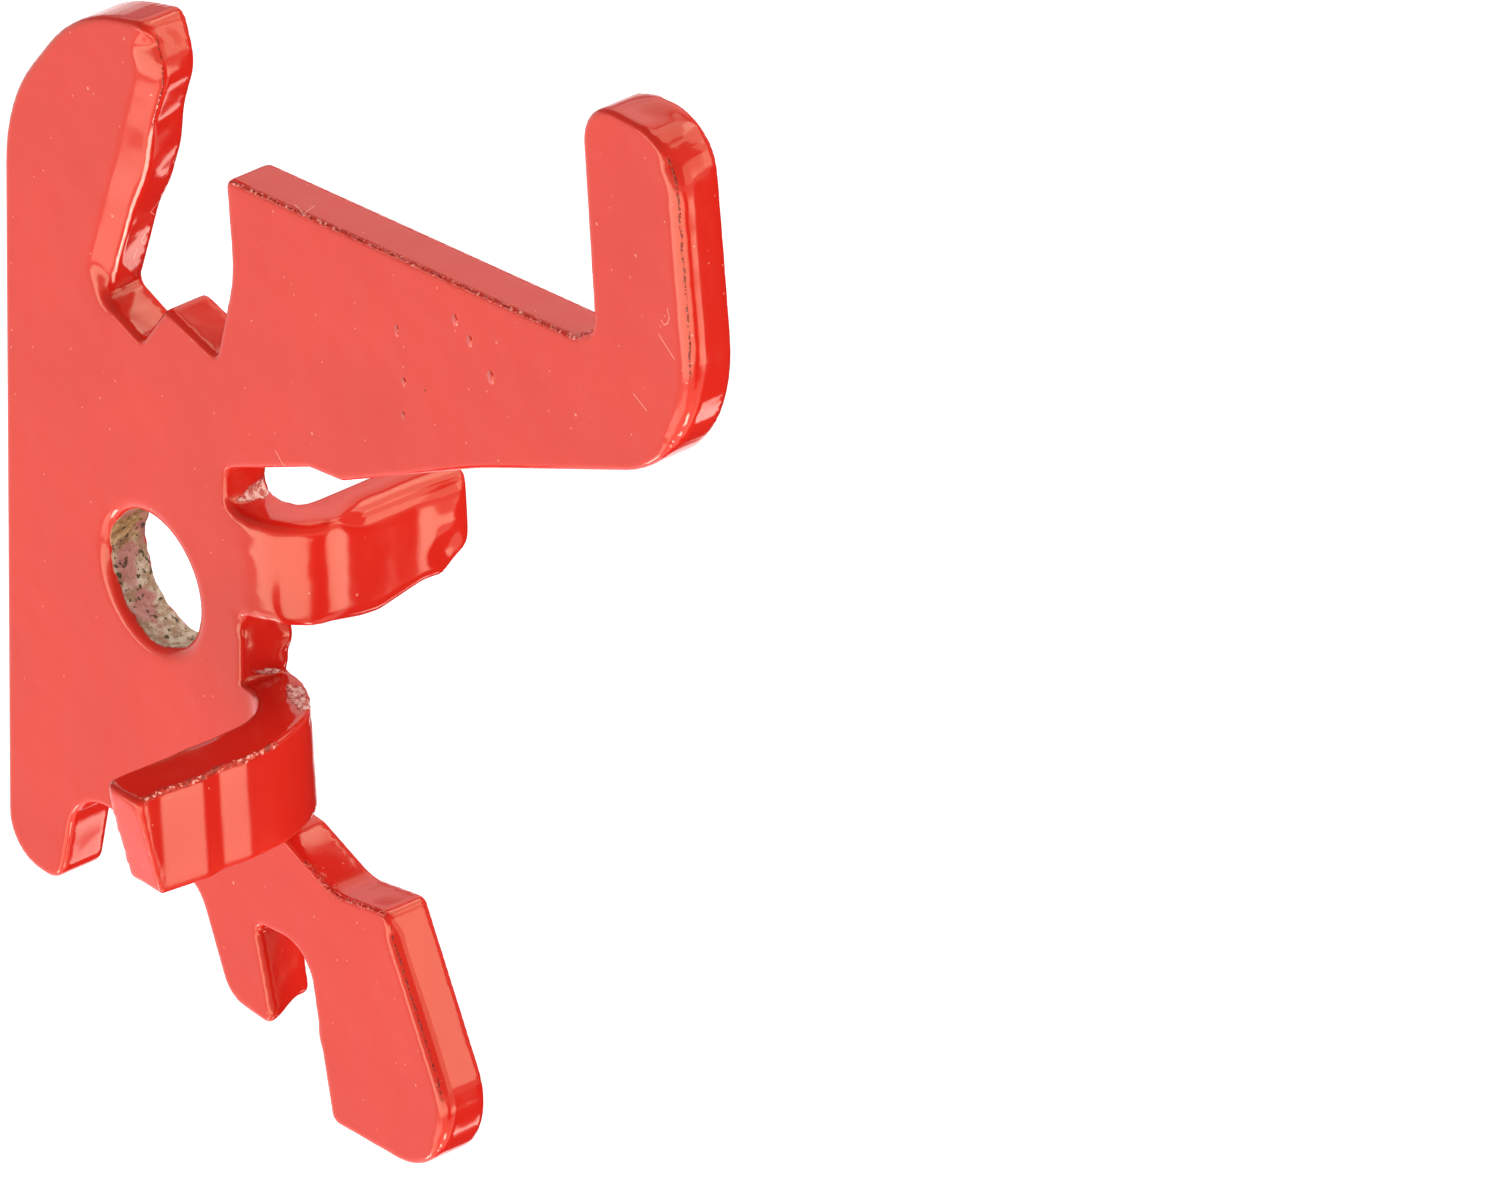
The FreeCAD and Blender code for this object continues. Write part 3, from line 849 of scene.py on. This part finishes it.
# Fine scratches on the front face and the arm's top, and painted glints (pale
# squiggles) on the horn's wall: the two ends of each.
FRONT = (1, 0, 1)
SIDE = (0, 1, 1)
TOP = (1, 1, 0)
SCRATCHES_AND_GLINTS = (
    ((34.9, -1.15, 29.9), (35.95, -1.15, 29.2), FRONT),
    ((33.2, -1.15, 26.1), (34.1, -1.15, 25.7), FRONT),
    ((35.45, -1.15, 31.45), (35.6, -1.15, 31.1), FRONT),
    ((35.6, -1.15, 31.1), (35.5, -1.15, 30.75), FRONT),
    ((35.5, -1.15, 30.75), (35.25, -1.15, 30.55), FRONT),
    ((35.25, -1.15, 30.55), (35.05, -1.15, 30.7), FRONT),
    ((8.7, -1.15, 11.0), (9.3, -1.15, 10.5), FRONT),
    ((9.7, -0.83, 23.8), (10.65, -1.1, 23.95), TOP),
    ((10.65, -1.1, 23.95), (10.4, -0.34, 23.9), TOP),
    # Painted glints: pale squiggles near the back edge of the horn's wall.
    ((-1.2, 1.1, 20.7), (-1.4, 0.85, 20.1), SIDE),
    ((-1.4, 0.85, 20.1), (-1.5, 1.05, 19.8), SIDE),
    ((-2.3, 1.0, 17.7), (-2.5, 0.6, 17.0), SIDE),
    ((-2.5, 0.6, 17.0), (-2.6, 0.9, 16.7), SIDE),
    ((-2.8, 0.8, 16.0), (-3.0, 0.5, 15.3), SIDE),
    ((-3.0, 0.5, 15.3), (-3.1, 0.75, 15.0), SIDE),
    ((-3.1, 0.4, 14.9), (-3.2, 0.3, 14.4), SIDE),
)
STROKE_WIDTH = 0.035
STROKE_REACH = 1.6

RED = (0.71, 0.023, 0.011, 1)
DEEP_RED = (0.59, 0.013, 0.009, 1)
SEAM_BROWN = (0.11, 0.006, 0.006, 1)
# Pale pink of dust and scratches, also used for painted glints and a painted highlight.
DUST_AND_GLINT_PINK = (1.0, 0.45, 0.36, 1)
TORN_RED = (0.55, 0.1, 0.08, 1)
TORN_PINK = (0.95, 0.62, 0.54, 1)
DARK_RUST = (0.2, 0.08, 0.03, 1)
LIGHT_RUST = (0.52, 0.32, 0.13, 1)
DARK_STEEL = (0.34, 0.2, 0.12, 1)
LIGHT_STEEL = (0.62, 0.5, 0.38, 1)
STRAY_ENAMEL = (0.48, 0.14, 0.15, 1)
PIT_BLACK = (0.06, 0.035, 0.02, 1)
ENAMEL_IOR = 1.5
ENAMEL_TINT = (1.0, 0.86, 0.56, 1)


def seam_lines(board, depth, on_roll):
    """The dotted dark line along the roll's seam, and a painted highlight: a pale sliver
    low on the horn.
    """
    dots = board.step(board.noise(0.13, detail=1.0), 0.46, 0.54)
    line = board.both(board.near_zero(depth, 0.036, 0.016), board.both(dots, on_roll))
    low_horn = board.math("LESS_THAN", board.x, 3.0)
    low_horn = board.both(low_horn, board.step(board.z, 22.8, 22.2))
    line = board.both(line, board.math("SUBTRACT", 0.8, low_horn, clamp=True))
    below = board.both(board.step(board.x, 28.0, 29.0), board.step(board.z, 28.8, 28.2))
    below = board.most(below, board.step(board.z, -16.2, -16.9))
    line = board.both(line, board.math("SUBTRACT", 1.0, below))
    # Painted highlight: a pale sliver along the seam, low on the horn's wall.
    painted_highlight = board.both(board.near_zero(depth, 0.08, 0.04), board.both(low_horn, on_roll))
    return line, painted_highlight


def dust_scratches_and_glints(board, depth, on_roll):
    """Pale specks all over, more of them beside the seam, fine scratches, and painted
    glints on the horn's wall.
    """
    flecks = board.specks(0.7, 0.02, 0.08, 0.5, shift=(2, 4, 1))
    flecks = board.both(flecks, board.both(board.near_zero(depth, 0.2, 0.12), on_roll))
    dust_and_glints = board.specks(0.7, 0.02, 0.06, 0.5)
    grains = board.specks(1.4, 0.04, 0.1, 0.45, shift=(6, 3, 2))
    dust_and_glints = board.both(board.most(board.most(dust_and_glints, grains), flecks), 0.5)
    for start, end, flat in SCRATCHES_AND_GLINTS:
        stroke = board.stroke(start, end, flat, STROKE_WIDTH)
        dust_and_glints = board.most(dust_and_glints, board.both(stroke, 0.55))
    return dust_and_glints


def burr_grit(board, fine):
    """The ragged burr's reach, its dark gaps and its pale crumbs."""
    ragged = board.math("ADD", board.attribute("burr"), board.scaled(fine, 0.2, -0.1))
    ragged = board.step(ragged, 0.17, 0.11)
    grit = board.noise(0.22, detail=2.0, rough=0.6, shift=(3, 5, 8))
    dark = board.both(ragged, board.step(grit, 0.5, 0.42))
    pale = board.both(ragged, board.step(grit, 0.57, 0.63))
    return ragged, dark, pale


def torn_metal(board):
    """Where the sheet is torn bare, and the tear's grainy colour."""
    tatter = board.noise(0.55, detail=4.0, rough=0.65, shift=(1, 8, 2))
    tatter = board.math("ADD", tatter, board.scaled(board.attribute("torn"), 0.6, -0.38))
    bare = board.step(tatter, 0.5, 0.6)
    crumbs = board.step(board.noise(0.28, detail=3.0, rough=0.7), 0.42, 0.58)
    return bare, board.mix(crumbs, TORN_RED, TORN_PINK)


def bare_hole(board, coarse):
    """Where the screw hole's wall is bare, its grain, and its steel and rust."""
    square = board.scaled(board.z, board.z, board.both(board.x, board.x))
    edge = board.scaled(coarse, 0.5, -0.25)
    inside = board.step(board.math("ADD", board.math("SQRT", square), edge), 3.55, 3.4)
    down = board.math("ADD", board.math("ADD", board.y, HALF_SHEET), edge)
    through = board.both(board.step(down, 0.28, 0.36), board.step(down, 2.25, 2.15))
    hole = board.both(inside, through)
    grain = board.noise(0.5, detail=4.0, rough=0.7, shift=(4, 4, 0))
    rust = board.mix(board.step(grain, 0.35, 0.65), DARK_RUST, LIGHT_RUST)
    grey = board.mix(board.step(grain, 0.4, 0.62), DARK_STEEL, LIGHT_STEEL)
    lower = board.step(board.scaled(coarse, 2.0, board.z), 2.2, -0.2)
    steel = board.mix(lower, rust, grey)
    stray = board.step(board.noise(1.6, shift=(9, 1, 6)), 0.55, 0.65)
    steel = board.mix(board.both(stray, 0.7), steel, STRAY_ENAMEL)
    pits = board.step(board.noise(0.3, detail=2.0, shift=(2, 2, 2)), 0.42, 0.34)
    return hole, grain, board.mix(pits, steel, PIT_BLACK)


def set_gloss(board, shade, bare, hole):
    gloss = board.scaled(shade, 0.06, 0.09)
    on_wing = board.both(board.step(board.z, -1.5, -2.5), board.step(board.y, -1.5, -2.5))
    gloss = board.scaled(on_wing, 0.1, gloss)
    gloss = board.scaled(bare, 0.25, gloss)
    gloss = board.math("MULTIPLY_ADD", hole, 0.5, gloss, clamp=True)
    board.join(gloss, board.shader.inputs["Roughness"])
    board.shader.inputs["IOR"].default_value = ENAMEL_IOR
    board.shader.inputs["Specular Tint"].default_value = ENAMEL_TINT


def set_relief(board, rough):
    """The enamel's slight waviness, its pimples and the rough places."""
    pimples = 0.0
    for place_x, place_z, wide, high in PIMPLES:
        pimple = board.blob((place_x, -HALF_SHEET, place_z), (wide, 0.5, high))
        pimples = board.math("ADD", pimples, pimple)
    normal = board.bump(board.noise(2.6, detail=1.0), 0.05)
    normal = board.bump(board.noise(1.1, detail=1.0, shift=(8, 6, 1)), 0.009, normal)
    normal = board.bump(pimples, 0.09, normal)
    normal = board.bump(rough, 0.1, normal)
    board.join(normal, board.shader.inputs["Normal"])


def make_enamel():
    board = Board("red_enamel")
    shade = board.noise(6.0, detail=3.0)
    fine = board.noise(0.35, detail=3.0, rough=0.6)
    coarse = board.noise(1.1, detail=2.0, shift=(7, 0, 3))
    depth = board.math("ADD", board.attribute("seam"), board.scaled(coarse, 0.14, -0.07))
    on_roll = board.step(board.attribute("rolled"), 0.55, 0.75)

    line, painted_highlight = seam_lines(board, depth, on_roll)
    ragged, dark, pale = burr_grit(board, fine)
    line = board.most(line, board.both(dark, 0.55))
    dust_and_glints = dust_scratches_and_glints(board, depth, on_roll)
    # The painted highlight sliver joins the pale marks.
    dust_and_glints = board.most(board.most(dust_and_glints, pale), painted_highlight)
    bare, torn = torn_metal(board)
    hole, grain, steel = bare_hole(board, coarse)

    color = board.mix(shade, RED, DEEP_RED)
    color = board.mix(line, color, SEAM_BROWN)
    # Pale dust, scratches and burr crumbs, with painted glints and a painted highlight.
    color = board.mix(dust_and_glints, color, DUST_AND_GLINT_PINK)
    color = board.mix(bare, color, torn)
    color = board.mix(hole, color, steel)
    board.join(color, board.shader.inputs["Base Color"])
    set_gloss(board, shade, bare, hole)
    rough = board.both(fine, board.most(board.most(line, bare), ragged))
    set_relief(board, board.math("ADD", rough, board.both(hole, grain)))
    return board.material


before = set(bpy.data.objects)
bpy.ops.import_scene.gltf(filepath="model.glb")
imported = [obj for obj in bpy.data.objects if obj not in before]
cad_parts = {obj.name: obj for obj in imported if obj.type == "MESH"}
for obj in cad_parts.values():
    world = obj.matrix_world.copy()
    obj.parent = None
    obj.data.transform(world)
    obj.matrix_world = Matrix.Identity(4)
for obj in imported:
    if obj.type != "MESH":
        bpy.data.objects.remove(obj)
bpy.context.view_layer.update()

make_camera()
make_studio()

hook = make_hook(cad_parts["hook"])
hook.data.materials.append(make_enamel())
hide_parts("hook")
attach(hook, "root")

print("triangles", sum(len(face.vertices) - 2 for face in hook.data.polygons))
